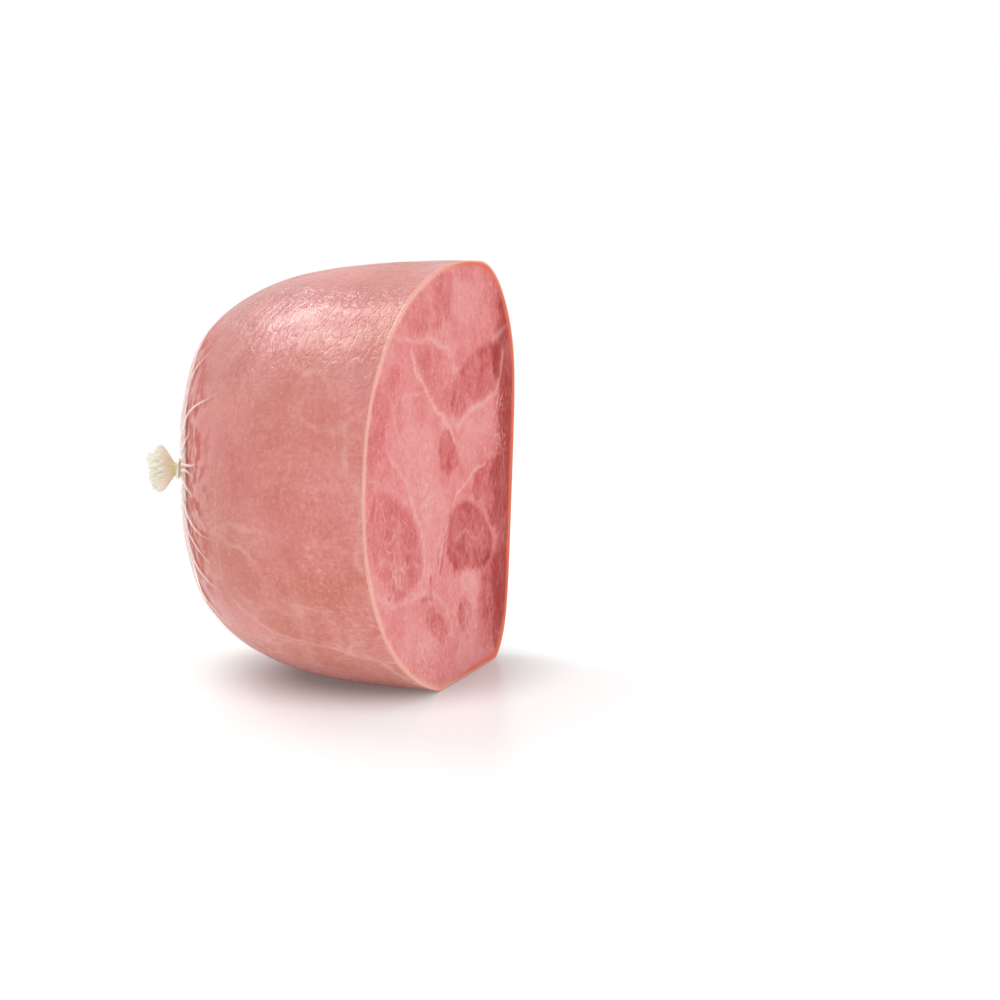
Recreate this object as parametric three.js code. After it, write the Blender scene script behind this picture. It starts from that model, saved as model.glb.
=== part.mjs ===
// Half of a cooked smoked ham in its film casing, cut across the middle. Millimetres, +Z up.
// The cut face looks along +X, and the casing is gathered and clipped at the other end.
// Origin: on the resting surface, under the centre of the bounding box.
import * as THREE from 'three';

// Outside of the filled casing, measured from an axis that runs level from the cut face.
const halfLength = 117;          // cut face to the clipped end
const axisHeight = 72;           // axis above the resting surface
const crownReach = 78;           // axis to the top
const bellyReach = 76.5;         // axis to where the belly would be if it had not sagged flat
const roundSideReach = 103;      // axis to the full, round side at -Y
const backSideReach = 46.5;      // axis to the fuller edge of the back at +Y
const pressedBackReach = 37.5;   // axis to the flat that was pressed on the back
const pressedBackLean = THREE.MathUtils.degToRad(-6);
const endShift = 14;             // clipped end from the axis, towards the round side
const endTurn = THREE.MathUtils.degToRad(28); // how far the clipped end faces the round side
const sectionPower = 2.2;        // 2 is an ellipse, more is squarer
const endPower = 3.1;            // how squarely the clipped end is filled
const pressedEdgePower = 14;     // how sharply the pressed back meets the round section

// Casing film and the fit of the meat in it.
const filmWall = 0.6;
const meatClearance = 0.4;
const sagClearance = 0.3;        // more room under the meat, where the belly rests

// Gathered end: a dimple round the neck, folds that run into it, and the pleated tail.
const neckRadius = 2.7;
const dimpleDepth = 3;
const dimpleShare = 0.15;        // dimple's width as a share of the section
const neckBlendPower = 4;        // how tightly the dimple turns into the neck
const foldCount = 16;
const foldHeight = 0.9;
const tailLength = 8.9;          // beyond the clipped end
const tailRadius = 7.2;
const pleatCount = 10;
const pleatDepth = 0.16;         // share of the tail's radius

// Clip: one round wire bent round the neck until its legs lie side by side.
const wireDiameter = 1.1;
const clipClearance = 0.3;
const clipTurns = 1.25;
const wireSpacing = 0.15;        // between the two legs where they lie side by side
const clipOffset = 0.4;          // middle of the clip beyond the clipped end

const segmentsRound = 72;
const wireSides = 10;
const wireSteps = 40;

const materials = {
  ham: new THREE.MeshStandardMaterial({ color: 0xe5999a, roughness: 0.45, metalness: 0 }),
  casing: new THREE.MeshStandardMaterial({ color: 0xd8897f, roughness: 0.2, metalness: 0 }),
  clip: new THREE.MeshStandardMaterial({ color: 0xc9ccd0, roughness: 0.3, metalness: 1 }),
};

// Reach of the section from the axis, at an angle from +Y, drawn in by an inset.
function sectionReach(angle, inset) {
  const side = Math.cos(angle);
  const rise = Math.sin(angle);
  const sideReach = (side < 0 ? roundSideReach : backSideReach) - inset;
  const riseReach = (rise > 0 ? crownReach : bellyReach) - inset;
  const oval = ((Math.abs(side) / sideReach) ** sectionPower
    + (Math.abs(rise) / riseReach) ** sectionPower) ** (-1 / sectionPower);
  const towardsBack = Math.max(Math.cos(angle - pressedBackLean), 0) / (pressedBackReach - inset);
  return (oval ** -pressedEdgePower + towardsBack ** pressedEdgePower) ** (-1 / pressedEdgePower);
}

// Share of the full section at a station, 0 at the cut face and 1 at the clipped end.
function sectionShare(station) {
  return (1 - station ** endPower) ** (1 / endPower);
}

function stationOfShare(share) {
  return (1 - share ** endPower) ** (1 / endPower);
}

// How far the skin is pulled in by the clip.
function dimple(share) {
  return dimpleDepth * Math.exp(-((share / dimpleShare) ** 2));
}

// Height of the gathered folds: none along the body or at the neck, full between them.
function foldRise(angle, share) {
  const nearEnd = THREE.MathUtils.smoothstep(1 - share, 0.15, 0.7);
  const offNeck = THREE.MathUtils.smoothstep(share, 0.06, 0.3);
  return foldHeight * nearEnd * offNeck * (0.5 + 0.5 * Math.cos(foldCount * angle));
}

// A point at a station: reach is measured across the axis, and out along the way the skin faces there.
function pointAt(station, reach, out, angle, floor) {
  const turn = endTurn * station;
  const sideways = reach * Math.cos(angle);
  return new THREE.Vector3(
    -(halfLength * station) - out * Math.cos(turn) - sideways * Math.sin(turn),
    -endShift * station ** 2 - out * Math.sin(turn) + sideways * Math.cos(turn),
    Math.max(axisHeight + reach * Math.sin(angle), floor),
  );
}

// Outside of the casing over the body, running down into the neck at the clipped end.
function outerSkin(share) {
  const station = stationOfShare(share);
  const endways = station ** (endPower - 1);
  const crossways = share ** (endPower - 1);
  return (angle) => {
    const full = share * sectionReach(angle, 0);
    const fold = foldRise(angle, share) / Math.hypot(endways, crossways);
    const reach = (full ** neckBlendPower + neckRadius ** neckBlendPower) ** (1 / neckBlendPower);
    return pointAt(station, reach + fold * crossways, fold * endways - dimple(share), angle, 0);
  };
}

// The same skin drawn in by an inset, closed over the end: the meat, or the hollow that it fills.
function insetSkin(share, inset, floor) {
  const station = stationOfShare(share);
  return (angle) => pointAt(station, share * sectionReach(angle, inset),
    -inset * station - dimple(share), angle, floor);
}

// A pleated ring of the neck or the tail, beyond the clipped end.
function tailRing(out, radius, pleat) {
  return (angle) => pointAt(1, radius * (1 + pleat * Math.cos(pleatCount * angle)), out, angle, 0);
}

// A lathe whose rings are each drawn by a function of the angle. The first and last are on the axis.
function shapedLathe(rings) {
  const profile = rings.map((_, i) => new THREE.Vector2(i === 0 || i === rings.length - 1 ? 0 : 1, i));
  const lathe = new THREE.LatheGeometry(profile, segmentsRound);
  const position = lathe.getAttribute('position');
  for (let vertex = 0; vertex < position.count; vertex += 1) {
    const segment = Math.floor(vertex / rings.length) % segmentsRound;
    const angle = -(segment / segmentsRound) * 2 * Math.PI;
    const point = rings[vertex % rings.length](angle);
    position.setXYZ(vertex, point.x, point.y, point.z);
  }
  lathe.computeVertexNormals();
  return lathe;
}

// Shares of the full section that the body's rings are drawn at, from the cut face to the neck.
const ringSpacing = 0.05;
const bodyShares = Array.from({ length: 12 }, (_, i) => sectionShare(i * ringSpacing));
const endShares = [0.9, 0.83, 0.75, 0.66, 0.57, 0.48, 0.39, 0.31, 0.23, 0.165, 0.11, 0.07, 0.04];
const skinShares = [...bodyShares, ...endShares];
const neckShare = 0.015;

function makeHam() {
  const inset = filmWall + meatClearance;
  const floor = inset + sagClearance;
  const skin = [...skinShares, 0].map((share) => insetSkin(share, inset, floor));
  const cutCentre = () => new THREE.Vector3(0, 0, axisHeight);
  return shapedLathe([cutCentre, ...skin]);
}

function makeCasing() {
  const outside = [...skinShares, neckShare].map(outerSkin);
  const hollow = [...skinShares, 0].map((share) => insetSkin(share, filmWall, filmWall));
  const clipHalfWidth = (clipTurns * (wireDiameter + wireSpacing) + wireDiameter) / 2;
  const flare = clipOffset + clipHalfWidth + clipClearance;
  const flareLength = tailLength - flare;
  const tail = [
    tailRing(clipOffset - clipHalfWidth, neckRadius, 0),
    tailRing(flare, neckRadius, 0),
    tailRing(flare + flareLength * 0.12, tailRadius * 0.6, pleatDepth * 0.5),
    tailRing(flare + flareLength * 0.5, tailRadius, pleatDepth),
    tailRing(flare + flareLength * 0.85, tailRadius * 0.72, pleatDepth),
    tailRing(tailLength, tailRadius * 0.3, pleatDepth * 0.5),
    () => pointAt(1, 0, tailLength, 0, 0),
  ];
  return shapedLathe([...hollow.reverse(), ...outside, ...tail]);
}

function makeClip() {
  const wireRadius = wireDiameter / 2;
  const ringRadius = neckRadius + clipClearance + wireRadius;
  const pitch = wireDiameter + wireSpacing;
  const points = [];
  for (let i = 0; i <= wireSteps; i += 1) {
    const turns = clipTurns * (i / wireSteps - 0.5);
    const angle = turns * 2 * Math.PI + Math.PI / 2;
    points.push(pointAt(1, ringRadius, clipOffset + turns * pitch, angle, 0));
  }
  const section = new THREE.Shape(new THREE.EllipseCurve(0, 0, wireRadius, wireRadius).getPoints(wireSides));
  return new THREE.ExtrudeGeometry(section, {
    steps: wireSteps,
    extrudePath: new THREE.CatmullRomCurve3(points),
  });
}

function part(name, geometry) {
  const mesh = new THREE.Mesh(geometry, materials[name]);
  mesh.name = name;
  return mesh;
}

const halfHam = new THREE.Group();
halfHam.add(part('ham', makeHam()), part('casing', makeCasing()), part('clip', makeClip()));

const box = new THREE.Box3().setFromObject(halfHam);
const middle = box.getCenter(new THREE.Vector3());
halfHam.position.set(-middle.x, -middle.y, -box.min.z);
halfHam.updateMatrixWorld(true);

export default halfHam;
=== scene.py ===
import bpy
import math
import random
import numpy as np
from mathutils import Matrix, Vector, noise


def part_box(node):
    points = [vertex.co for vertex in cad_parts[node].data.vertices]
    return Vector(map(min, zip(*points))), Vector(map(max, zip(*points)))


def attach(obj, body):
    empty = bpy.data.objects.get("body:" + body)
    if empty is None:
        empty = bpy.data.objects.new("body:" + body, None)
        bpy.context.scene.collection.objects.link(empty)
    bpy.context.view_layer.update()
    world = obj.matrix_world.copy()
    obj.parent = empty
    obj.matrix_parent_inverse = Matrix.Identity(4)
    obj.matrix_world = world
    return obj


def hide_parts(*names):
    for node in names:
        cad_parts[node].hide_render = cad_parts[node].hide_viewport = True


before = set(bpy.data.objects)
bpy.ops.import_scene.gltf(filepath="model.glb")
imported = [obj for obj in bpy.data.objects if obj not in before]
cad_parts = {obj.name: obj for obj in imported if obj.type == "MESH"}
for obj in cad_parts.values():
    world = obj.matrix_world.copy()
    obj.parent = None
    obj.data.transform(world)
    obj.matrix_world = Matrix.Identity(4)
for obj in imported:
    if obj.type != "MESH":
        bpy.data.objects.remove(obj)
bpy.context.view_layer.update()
mm = 0.001

# Outside of the filled casing, with the frame's own sizes, in metres.
body = {
    "halfLength": 117 * mm,       # cut face to the clipped end
    "crownReach": 78 * mm,        # axis to the top
    "bellyReach": 76.5 * mm,      # axis to the belly before it sags flat
    "roundReach": 103 * mm,       # axis to the round side
    "backReach": 46.5 * mm,       # axis to the fuller edge of the back
    "pressedReach": 37.5 * mm,    # axis to the flat pressed on the back
    "pressedLean": math.radians(-6),
    "pressedEdge": 14,            # how sharply the pressed back turns into the round
    "endShift": 14 * mm,          # clipped end towards the round side
    "endTurn": math.radians(28),  # how far the clipped end faces the round side
    "sectionPower": 2.2,
    "endPower": 3.1,
    "dimpleDepth": 3 * mm,
    "dimpleShare": 0.15,
    "neckRadius": 2.7 * mm,
    "neckBlend": 4,
    "profileSteps": 4000,
}
casingLow, casingHigh = (Vector(corner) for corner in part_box("casing"))
cutX = casingHigh.x
axisY = casingLow.y + body["roundReach"]
axisZ = casingHigh.z - body["crownReach"]
floorZ = casingLow.z


def sectionReach(angle, inset):
    # distance from the axis to the skin, at an angle from the back
    side, rise = np.cos(angle), np.sin(angle)
    sideReach = np.where(side < 0, body["roundReach"], body["backReach"]) - inset
    riseReach = np.where(rise > 0, body["crownReach"], body["bellyReach"]) - inset
    power = body["sectionPower"]
    oval = ((np.abs(side) / sideReach) ** power + (np.abs(rise) / riseReach) ** power) ** (-1 / power)
    back = np.maximum(np.cos(angle - body["pressedLean"]), 0) / (body["pressedReach"] - inset)
    edge = body["pressedEdge"]
    return (oval ** -edge + back ** edge) ** (-1 / edge)


def pointAt(station, reach, out, angle):
    # reach is across the axis, out is along the way the skin faces at that station
    turn = body["endTurn"] * station
    sideways = reach * np.cos(angle)
    x = cutX - body["halfLength"] * station - out * np.cos(turn) - sideways * np.sin(turn)
    y = axisY - body["endShift"] * station ** 2 - out * np.sin(turn) + sideways * np.cos(turn)
    z = axisZ + reach * np.sin(angle)
    return np.stack(np.broadcast_arrays(x, y, z), -1)


def makeProfile():
    # the run of the skin from the clip to the cut: distance, share of the section and station
    power = body["endPower"]
    sweep = np.linspace(math.pi / 2, 0, body["profileSteps"])
    share, station = np.cos(sweep) ** (2 / power), np.sin(sweep) ** (2 / power)
    step = np.hypot(np.diff(share) * body["crownReach"], np.diff(station) * body["halfLength"])
    return np.concatenate([[0], np.cumsum(step)]), share, station


profile = makeProfile()
wholeRun = profile[0][-1]


def skinPoint(angle, toClip, inset=0.0, neck=True):
    # a point on the skin, by its angle about the axis and its distance from the clip
    share = np.interp(toClip, profile[0], profile[1])
    station = np.interp(toClip, profile[0], profile[2])
    full = share * sectionReach(angle, inset)
    narrow = body["neckRadius"] if neck else 0
    reach = (full ** body["neckBlend"] + narrow ** body["neckBlend"]) ** (1 / body["neckBlend"])
    dimple = body["dimpleDepth"] * np.exp(-((share / body["dimpleShare"]) ** 2))
    points = pointAt(station, reach, -inset * station - dimple, angle)
    points[..., 2] = np.maximum(points[..., 2], floorZ + inset)
    return points, np.broadcast_to(reach, points.shape[:-1])


def skinGrid(rows, around, nearest, inset, neck):
    toClip = np.linspace(wholeRun, nearest, rows)[:, None]
    angle = np.linspace(0, 2 * math.pi, around, endpoint=False)[None, :]
    points, reach = skinPoint(angle, toClip, inset, neck)
    return points, np.broadcast_to(angle, reach.shape), reach, np.broadcast_to(toClip, reach.shape)


def unitLength(vectors):
    return vectors / np.maximum(np.linalg.norm(vectors, axis=-1, keepdims=True), 1e-12)


def gridNormals(points):
    down = np.gradient(points, axis=0)
    across = (np.roll(points, -1, 1) - np.roll(points, 1, 1)) / 2
    normal = unitLength(np.cross(down, across))
    outward = points - points.mean(axis=(0, 1))
    return normal * np.sign((normal * outward).sum())


def smooth(low, high, value):
    t = np.clip((value - low) / (high - low), 0, 1)
    return t * t * (3 - 2 * t)


def peak(value, width):
    return np.exp(-(value / width) ** 2)


lumpNoise = {"smoothness": 0.9, "nextOctave": 2.1, "seedShift": (7.13, -3.77, 5.19)}


def noiseField(points, size, octaves, seed):
    # fractal noise at each point, for lumps of the given size in metres
    shift = Vector(seed * by for by in lumpNoise["seedShift"])
    smoothness, nextOctave = lumpNoise["smoothness"], lumpNoise["nextOctave"]
    values = [noise.fractal(Vector(p) + shift, smoothness, nextOctave, octaves)
              for p in points.reshape(-1, 3) / size]
    return np.array(values).reshape(points.shape[:-1])


# The gathered folds that run from the body into the clip: angle from the back, length, height, sway.
folds = {
    "seed": 5,
    "roundSide": [
        (113, 60, 0.7, 2), (121, 52, 0.8, -1), (130, 64, 0.8, 2), (138, 73, 1.1, 6), (147, 58, 0.6, 2),
        (155, 80, 1.1, 3), (163, 56, 0.9, -2), (168, 50, 0.6, 1), (173, 66, 0.8, 0), (176, 60, 0.8, 1),
        (181, 61, 1.0, 3), (186, 50, 0.6, 0), (192, 75, 1.1, -2), (199, 77, 1.0, -1), (206, 82, 1.1, -1),
        (213, 66, 0.8, 1), (221, 86, 1.1, 0), (229, 76, 0.9, 0), (237, 88, 1.0, 1), (246, 70, 0.8, 0),
    ],
    "others": 26,
    "otherGaps": (9, 8),         # degrees between the two runs of folds
    "otherShift": 0.35,
    "otherLength": (45, 82),
    "otherHeight": (0.6, 1.1),
    "otherSway": 4,
    "lean": 0.7,
    "swayAbout": 0.6,
    "waver": (0.012, 9),         # how far and how often a fold wavers along its length
    "fadeFrom": 0.45,
    "width": 0.62 * mm,
    "crowding": 26 * mm,         # nearer the axis than this, folds get finer
    "finest": 0.12,
    "ridgeWidth": 1.6,           # in fold widths, as the two below
    "furrowAside": 2.2,
    "furrowWidth": 1.2,
    "startAt": 2.5 * mm,
    "steps": 80,
    "across": 9,
    "wallFoot": 2.2,             # half the wall's foot, in fold widths
    "crest": 0.42,
    "finestWall": 0.10,
    "leastBreadth": 0.55,
    "wallHeight": 0.7,
    "heightShape": (0.6, 0.8),   # how it falls with crowding and along the fold
    "sunk": 0.04 * mm,
    "aboveFloor": 0.02 * mm,
}


def layFold(rng, degrees, length, height, sway):
    return {"angle": math.radians(degrees), "length": length * mm, "height": height * mm,
            "sway": math.radians(sway), "lean": rng.uniform(-folds["lean"], folds["lean"]),
            "wave": rng.uniform(0, 6)}


def layFolds():
    rng = random.Random(folds["seed"])
    laid = [layFold(rng, *fold) for fold in folds["roundSide"]]
    start = folds["roundSide"][-1][0] + folds["otherGaps"][0]
    end = folds["roundSide"][0][0] + 360 - folds["otherGaps"][1]
    for i in range(folds["others"]):
        shift = rng.uniform(-folds["otherShift"], folds["otherShift"])
        degrees = start + (end - start) * (i + shift) / (folds["others"] - 1)
        length, height = rng.uniform(*folds["otherLength"]), rng.uniform(*folds["otherHeight"])
        sway = rng.uniform(-folds["otherSway"], folds["otherSway"])
        laid.append(layFold(rng, degrees, length, height, sway))
    return laid


def foldAngle(fold, toClip):
    share = toClip / fold["length"]
    far, often = folds["waver"]
    swayed = fold["angle"] + fold["sway"] * (share - folds["swayAbout"])
    return swayed + far * np.sin(share * often + fold["wave"])


def foldFade(fold, toClip):
    return 1 - smooth(folds["fadeFrom"] * fold["length"], fold["length"], toClip)


def foldField(angle, reach, toClip, laid):
    # masks of the folds and of the furrows beside them
    ridge = np.zeros_like(reach)
    furrow = np.zeros_like(reach)
    crowd = np.clip(reach / folds["crowding"], folds["finest"], 1)
    for fold in laid:
        turn = (angle - foldAngle(fold, toClip) + math.pi) % (2 * math.pi) - math.pi
        aside = turn * reach / (folds["width"] * crowd)
        fade = foldFade(fold, toClip)
        ridge = np.maximum(ridge, peak(aside, folds["ridgeWidth"]) * fade)
        furrow = np.maximum(furrow, peak(np.abs(aside) - folds["furrowAside"], folds["furrowWidth"]) * fade)
    return ridge, furrow


def newPiece(name, data):
    piece = bpy.data.objects.new(name, data)
    bpy.context.scene.collection.objects.link(piece)
    return piece


def newMesh(name, points, faces, materials):
    mesh = bpy.data.meshes.new(name)
    mesh.from_pydata(points, [], faces)
    for material in materials:
        mesh.materials.append(material)
    mesh.polygons.foreach_set("use_smooth", [True] * len(mesh.polygons))
    return mesh


def addMask(mesh, name, values):
    layer = mesh.attributes.new(name, "FLOAT", "POINT")
    layer.data.foreach_set("value", values.astype(np.float32))


def meshFromRings(name, rings, materials, attributes, startPoint=None, endPoint=None, slots=None):
    # rings is rows x around x 3; an end is closed with a point where one is given
    rows, around = rings.shape[:2]
    points = [rings.reshape(-1, 3)]
    ring = np.arange(around)
    after = (ring + 1) % around
    quads = []
    for row in range(rows - 1):
        low, high = row * around, (row + 1) * around
        quads += np.stack([low + ring, low + after, high + after, high + ring], 1).tolist()
    triangles = []
    closedRows = []
    for point, row in ((startPoint, 0), (endPoint, rows - 1)):
        if point is None:
            continue
        base, centre = row * around, rows * around + len(closedRows)
        first, second = (ring, after) if row else (after, ring)
        triangles += np.stack([base + first, base + second, np.full(around, centre)], 1).tolist()
        points.append(point[None, :])
        closedRows.append(row)
    mesh = newMesh(name, np.concatenate(points).tolist(), quads + triangles, materials)
    if slots is not None:
        mesh.polygons.foreach_set("material_index", slots(rows, around, len(mesh.polygons)))
    for title, values in attributes.items():
        centres = [values[row].mean() for row in closedRows]
        addMask(mesh, title, np.concatenate([values.reshape(-1), centres]))
    mesh.update()
    return newPiece(name, mesh)


# Small helpers for building shader trees.
def place(tree, kind, inputs=None, **settings):
    item = tree.nodes.new(kind)
    for name, value in settings.items():
        setattr(item, name, value)
    for name, value in (inputs or {}).items():
        if isinstance(value, bpy.types.NodeSocket):
            tree.links.new(value, item.inputs[name])
        else:
            item.inputs[name].default_value = value
    return item


def maths(tree, operation, a, b=0.0, clamp=False):
    return place(tree, "ShaderNodeMath", {0: a, 1: b}, operation=operation, use_clamp=clamp).outputs[0]


def plus(tree, a, b, clamp=False):
    return maths(tree, "ADD", a, b, clamp)


def times(tree, a, b, clamp=False):
    return maths(tree, "MULTIPLY", a, b, clamp)


def sway(tree, value, amount):
    # a noise taken about its middle, so that it both adds and takes away
    return times(tree, maths(tree, "SUBTRACT", value, 0.5), amount)


def vectorMaths(tree, operation, a, b):
    return place(tree, "ShaderNodeVectorMath", {0: a, 1: b}, operation=operation).outputs


def mixColour(tree, factor, a, b):
    a, b = ((*colour, 1) if isinstance(colour, tuple) else colour for colour in (a, b))
    return place(tree, "ShaderNodeMix", {0: factor, 6: a, 7: b}, data_type="RGBA").outputs[2]


def paintOver(tree, colour, layers):
    # each layer is how much of it there is, and its colour
    for amount, over in layers:
        colour = mixColour(tree, amount, colour, over)
    return colour


def remap(tree, value, low, high, toLow=0.0, toHigh=1.0):
    item = place(tree, "ShaderNodeMapRange", {
        "Value": value, "From Min": low, "From Max": high, "To Min": toLow, "To Max": toHigh,
    }, interpolation_type="SMOOTHSTEP")
    return item.outputs[0]


def ramp(tree, factor, stops):
    item = place(tree, "ShaderNodeValToRGB", {"Fac": factor})
    band = item.color_ramp
    while len(band.elements) < len(stops):
        band.elements.new(0.5)
    for element, (position, colour) in zip(band.elements, stops):
        element.position, element.color = position, (*colour, 1)
    return item.outputs["Color"]


def mask(tree, name):
    return place(tree, "ShaderNodeAttribute", attribute_name=name).outputs["Fac"]


def objectSpace(tree, scale=(1, 1, 1)):
    coordinate = place(tree, "ShaderNodeTexCoord").outputs["Object"]
    return place(tree, "ShaderNodeMapping", {"Vector": coordinate, "Scale": scale}).outputs[0]


def noiseOf(tree, vector, scale, detail, roughness, distortion=0.0):
    return place(tree, "ShaderNodeTexNoise", {
        "Vector": vector, "Scale": scale, "Detail": detail, "Roughness": roughness,
        "Distortion": distortion,
    }).outputs["Fac"]


def cellEdges(tree, vector, scale):
    return place(tree, "ShaderNodeTexVoronoi", {"Vector": vector, "Scale": scale},
                 feature="DISTANCE_TO_EDGE").outputs["Distance"]


def drifted(tree, vector, scale, push):
    # the space pushed about by a noise, so that nothing in it runs straight
    drift = place(tree, "ShaderNodeTexNoise", {"Vector": vector, "Scale": scale, "Detail": 3.0})
    pushed = vectorMaths(tree, "MULTIPLY", drift.outputs["Color"], (push, push, push))[0]
    return vectorMaths(tree, "ADD", vector, pushed)[0]


def newMaterial(name, numbers):
    material = bpy.data.materials.new(name)
    material.use_nodes = True
    tree = material.node_tree
    tree.nodes.clear()
    shader = place(tree, "ShaderNodeBsdfPrincipled", numbers)
    place(tree, "ShaderNodeOutputMaterial", {"Surface": shader.outputs[0]})
    return material, tree, shader


def feed(tree, shader, sockets):
    for name, value in sockets.items():
        tree.links.new(value, shader.inputs[name])


def roughen(tree, shader, height, strength, distance):
    bump = place(tree, "ShaderNodeBump", {"Strength": strength, "Distance": distance, "Height": height})
    feed(tree, shader, {"Normal": bump.outputs[0]})


def newGroup(name, inputs, output):
    group = bpy.data.node_groups.new(name, "ShaderNodeTree")
    group.interface.new_socket("Vector", in_out="INPUT", socket_type="NodeSocketVector")
    for title, value in inputs.items():
        socket = group.interface.new_socket(title, in_out="INPUT", socket_type="NodeSocketFloat")
        socket.default_value = value
    group.interface.new_socket(output, in_out="OUTPUT", socket_type="NodeSocketFloat")
    return group, group.nodes.new("NodeGroupInput").outputs, group.nodes.new("NodeGroupOutput").inputs


def useGroup(tree, group, vector, numbers):
    return place(tree, "ShaderNodeGroup", {"Vector": vector, **numbers}, node_tree=group).outputs[0]


# In all the dictionaries of materials and groups, a noise is its scale, detail, roughness and
# distortion, and a mask is the low and high of what it's made from, then what they become.
# A bump is its strength and distance.
crinkles = {
    "drift": (110.0, 0.012),       # scale and push
    "uneven": (4.0, 0.62),         # detail and roughness of the noise between the creases
    "crease": (0.0, 0.12),
    "creaseDepth": 0.21,
}


def makeCrinkleGroup():
    # creases of tight film: thin sunk lines between smooth facets, over a soft unevenness
    group, given, result = newGroup("filmCrinkle", {"Size": 220.0, "Softness": 0.5}, "Height")
    space = drifted(group, given["Vector"], *crinkles["drift"])
    facet = remap(group, cellEdges(group, space, given["Size"]), *crinkles["crease"])
    uneven = times(group, noiseOf(group, space, given["Size"], *crinkles["uneven"]), given["Softness"])
    height = plus(group, times(group, facet, crinkles["creaseDepth"]), uneven)
    group.links.new(height, result["Height"])
    return group


marbles = {
    "drift": (45.0, 0.024),
    "patches": (28.0, 2.0, 0.5),
    "fullest": 0.75,               # where the patches let a thread through whole
}


def makeMarblingGroup():
    # thin pale threads, strongest where a slow noise lets them through
    group, given, result = newGroup(
        "meatMarbling", {"Scale": 40.0, "Thinness": 0.06, "Patchiness": 0.5}, "Mask")
    space = drifted(group, given["Vector"], *marbles["drift"])
    thread = remap(group, cellEdges(group, space, given["Scale"]), 0.0, given["Thinness"], 1.0, 0.0)
    gate = place(group, "ShaderNodeMapRange", {
        "Value": noiseOf(group, given["Vector"], *marbles["patches"]),
        "From Min": given["Patchiness"], "From Max": marbles["fullest"]}).outputs[0]
    group.links.new(times(group, thread, gate), result["Mask"])
    return group


crinkle = makeCrinkleGroup()
marbling = makeMarblingGroup()


# The cut face: pink muscle, paler seams, an orange smoked rim.
cutMeat = {
    "shader": {"IOR": 1.4, "Specular IOR Level": 0.12},
    "palest": (0.815, 0.330, 0.325),
    "pale": (0.770, 0.228, 0.228),
    "deep": (0.640, 0.125, 0.127),
    "deepest": (0.390, 0.026, 0.020),
    "seam": (0.900, 0.500, 0.450),
    "crack": (0.54, 0.100, 0.090),
    "rimBack": (0.780, 0.155, 0.085),
    # the smoked rim is paler and peachier on the round side, a painted highlight along the rolled cut edge
    "rimRoundAndHighlight": (0.925, 0.455, 0.365),
    "tones": {"palest": 0.0, "pale": 0.35, "deep": 0.70, "deepest": 1.0},
    "mottle": (70, 5, 0.6, 0.4),
    "mottleShare": 0.5,
    "fibre": (360, 4, 0.68, 0.9),
    "fibreStretch": (1, 1, 0.62),
    "fibreShare": 0.50,
    "grain": (1500, 2, 0.6),
    "threads": {"Scale": 70.0, "Thinness": 0.055, "Patchiness": 0.46},
    "threadShare": 0.42,
    "fineThreads": {"Scale": 190.0, "Thinness": 0.10, "Patchiness": 0.44},
    "fineStretch": (1.4, 1.4, 0.8),
    "fineShare": 0.34,
    "brokenSeam": (0.30, 0.58, 0.62, 1.0),
    "calm": (0.55, 0.95, 1.0, 0.12),       # deep muscle shows fewer flecks
    "flecks": (0.56, 0.70, 0.0, 0.38),
    "crumbly": (650, 3, 0.62, 0.8),
    "paleCrumbs": (0.54, 0.66, 0.0, 0.30),
    "deepCrumbs": (0.46, 0.32, 0.0, 0.32),
    "pitted": (900, 2, 0.5),
    "pits": (0.64, 0.74, 0.0, 0.40),
    "rough": (0.3, 0.7, 0.34, 0.54),
    "fibreDepth": 0.7,
    "grainDepth": 0.35,
    "bump": (0.32, 0.35 * mm),
}


def makeCutMeat():
    look = cutMeat
    material, tree, shader = newMaterial("cutMeat", look["shader"])
    space = objectSpace(tree)
    mottle = noiseOf(tree, space, *look["mottle"])
    fibre = noiseOf(tree, objectSpace(tree, look["fibreStretch"]), *look["fibre"])
    grain = noiseOf(tree, space, *look["grain"])
    crumbly = noiseOf(tree, space, *look["crumbly"])
    tone = plus(tree, mask(tree, "tone"), sway(tree, mottle, look["mottleShare"]))
    tone = plus(tree, tone, sway(tree, fibre, look["fibreShare"]), True)
    calm = remap(tree, tone, *look["calm"])
    threads = useGroup(tree, marbling, space, look["threads"])
    fineThreads = useGroup(tree, marbling, objectSpace(tree, look["fineStretch"]), look["fineThreads"])
    seams = maths(tree, "MAXIMUM", mask(tree, "seam"), times(tree, threads, look["threadShare"]))
    seams = maths(tree, "MAXIMUM", seams, times(tree, fineThreads, look["fineShare"]))
    seams = times(tree, seams, remap(tree, fibre, *look["brokenSeam"]), True)
    colour = ramp(tree, tone, [(at, look[name]) for name, at in look["tones"].items()])
    colour = paintOver(tree, colour, [
        (seams, look["seam"]),
        (times(tree, remap(tree, grain, *look["flecks"]), calm), look["seam"]),
        (times(tree, remap(tree, crumbly, *look["paleCrumbs"]), calm), look["seam"]),
        (remap(tree, crumbly, *look["deepCrumbs"]), look["deep"]),
        (remap(tree, noiseOf(tree, space, *look["pitted"]), *look["pits"]), look["deepest"]),
        (mask(tree, "crack"), look["crack"]),
        # the smoked rim, with a painted highlight on its round side
        (mask(tree, "rim"), mixColour(tree, mask(tree, "backness"), look["rimRoundAndHighlight"], look["rimBack"])),
    ])
    feed(tree, shader, {"Base Color": colour, "Roughness": remap(tree, mottle, *look["rough"])})
    relief = plus(tree, times(tree, fibre, look["fibreDepth"]), times(tree, grain, look["grainDepth"]))
    roughen(tree, shader, relief, *look["bump"])
    return material


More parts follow.
